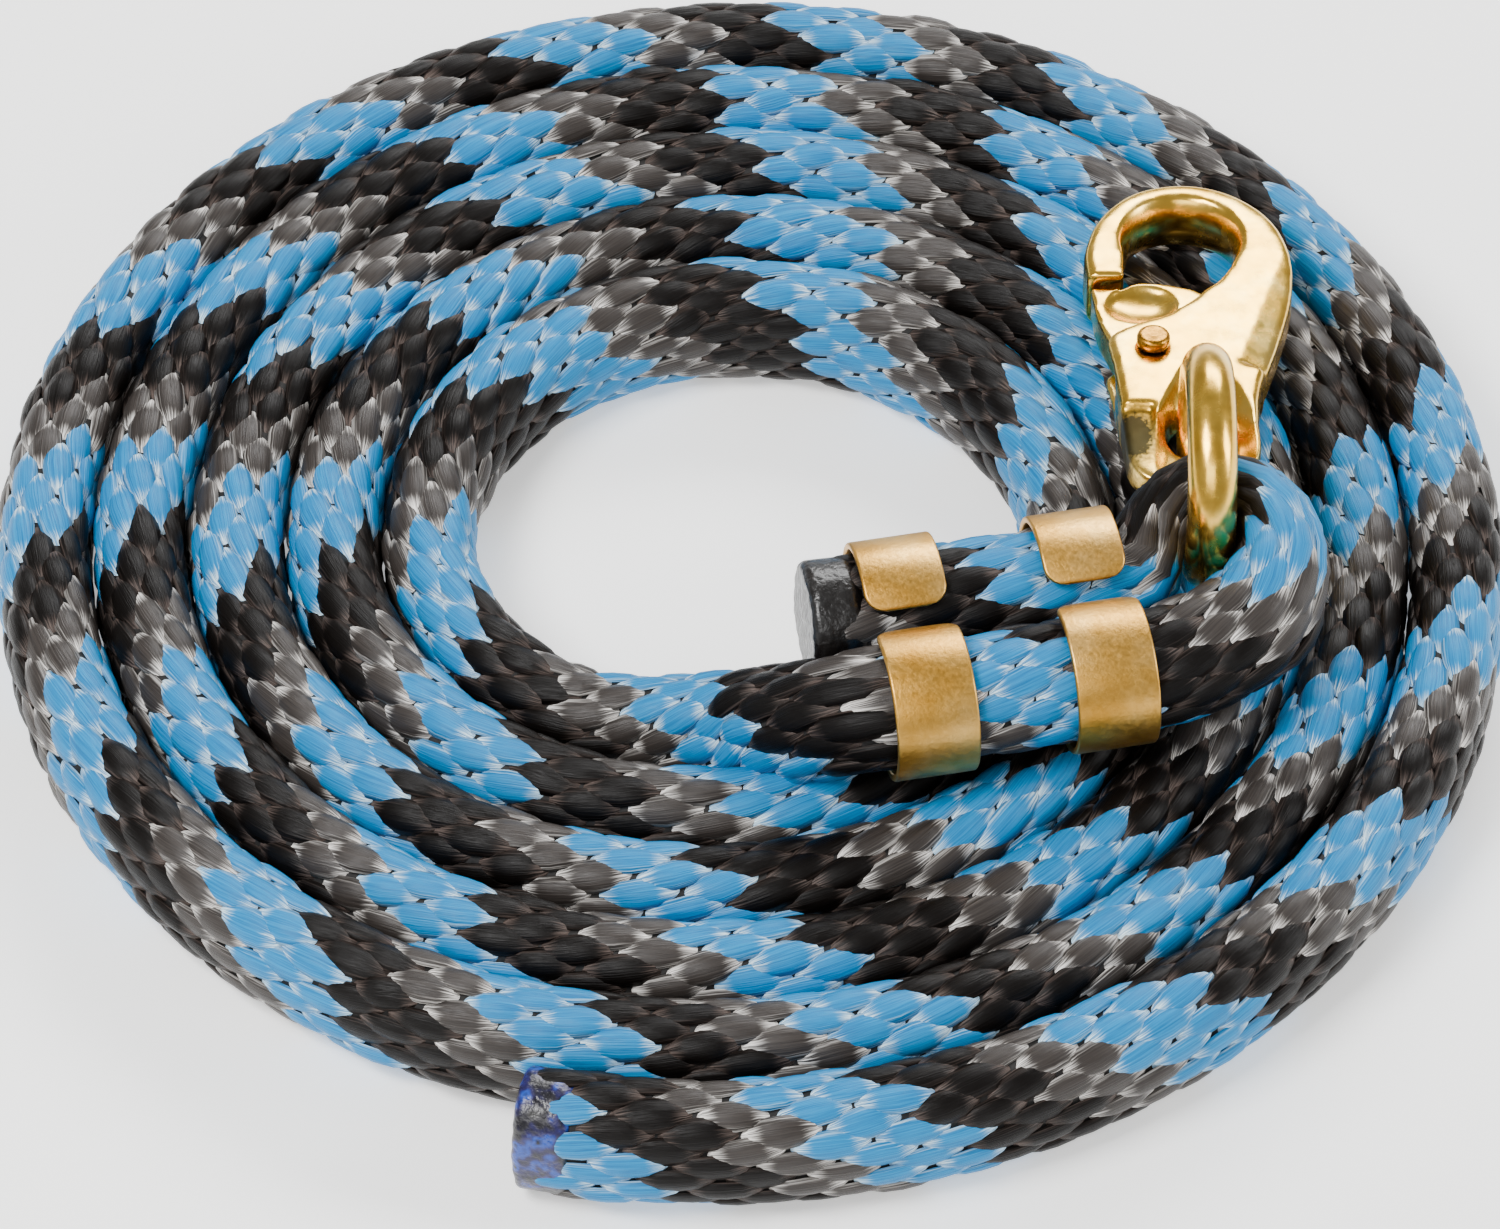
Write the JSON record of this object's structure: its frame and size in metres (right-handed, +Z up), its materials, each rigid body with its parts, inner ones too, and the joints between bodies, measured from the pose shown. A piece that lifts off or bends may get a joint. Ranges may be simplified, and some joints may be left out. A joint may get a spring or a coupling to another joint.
{
  "type": "lead rope",
  "caption": "Soft braided horse lead rope laid in a flat spiral coil, its end doubled into a strapped eye that holds a brass ring and a bull snap.",
  "frame": {"origin": "on the surface that the coil lies on, under the middle of the whole object", "axes": "+Z up, out of the coil's flat side; +X along the strapped eye towards the ring; +Y along the snap from its ring to its hook"},
  "size_m": [0.259, 0.2744, 0.0655],
  "materials": {
    "rope_grey_braid": "braided filament yarn with a soft sheen",
    "rope_blue_braid": "braided filament yarn with a soft sheen",
    "rope_black_braid": "braided filament yarn with a soft sheen",
    "rope_melted_end": "hot-cut and melted",
    "strap_brass": "satin strip, lightly tarnished",
    "snap_brass": "cast and tumble polished",
    "rivet_brass": "peened, tarnished",
    "spring_steel": "drawn wire"
  },
  "bodies": {
    "rope": {"rope_coil": "rope_grey_braid", "rope_tail": "rope_blue_braid", "rope_outer_fused_end": "rope_melted_end", "rope_eye": "rope_black_braid", "rope_inner_fused_end": "rope_melted_end", "strap_left": "strap_brass", "strap_right": "strap_brass"},
    "ring": {"snap_ring": "snap_brass"},
    "snap": {"snap_body": "snap_brass", "snap_rivet": "rivet_brass", "snap_tongue_spring": "spring_steel"},
    "tongue": {"snap_tongue": "snap_brass"}
  },
  "joints": [
    {"name": "ring_turn", "type": "hinge", "parent": "rope", "child": "ring", "pos_m": [0.0775, -0.00835, 0.0445], "axis": [1, 0, 0], "range_deg": [0, 95]},
    {"name": "snap_swing", "type": "hinge", "parent": "ring", "child": "snap", "pos_m": [0.0775, 0.00568, 0.03526], "axis": [0, 0.5503, 0.835], "range_deg": [-20, 20]},
    {"name": "tongue_press", "type": "hinge", "parent": "snap", "child": "tongue", "pos_m": [0.0699, 0.0256, 0.0335], "axis": [0, 0.0872, 0.9962], "range_deg": [-30, 0], "stiffness_Nm_per_rad": 0.25, "springref_deg": 20.05}
  ]
}
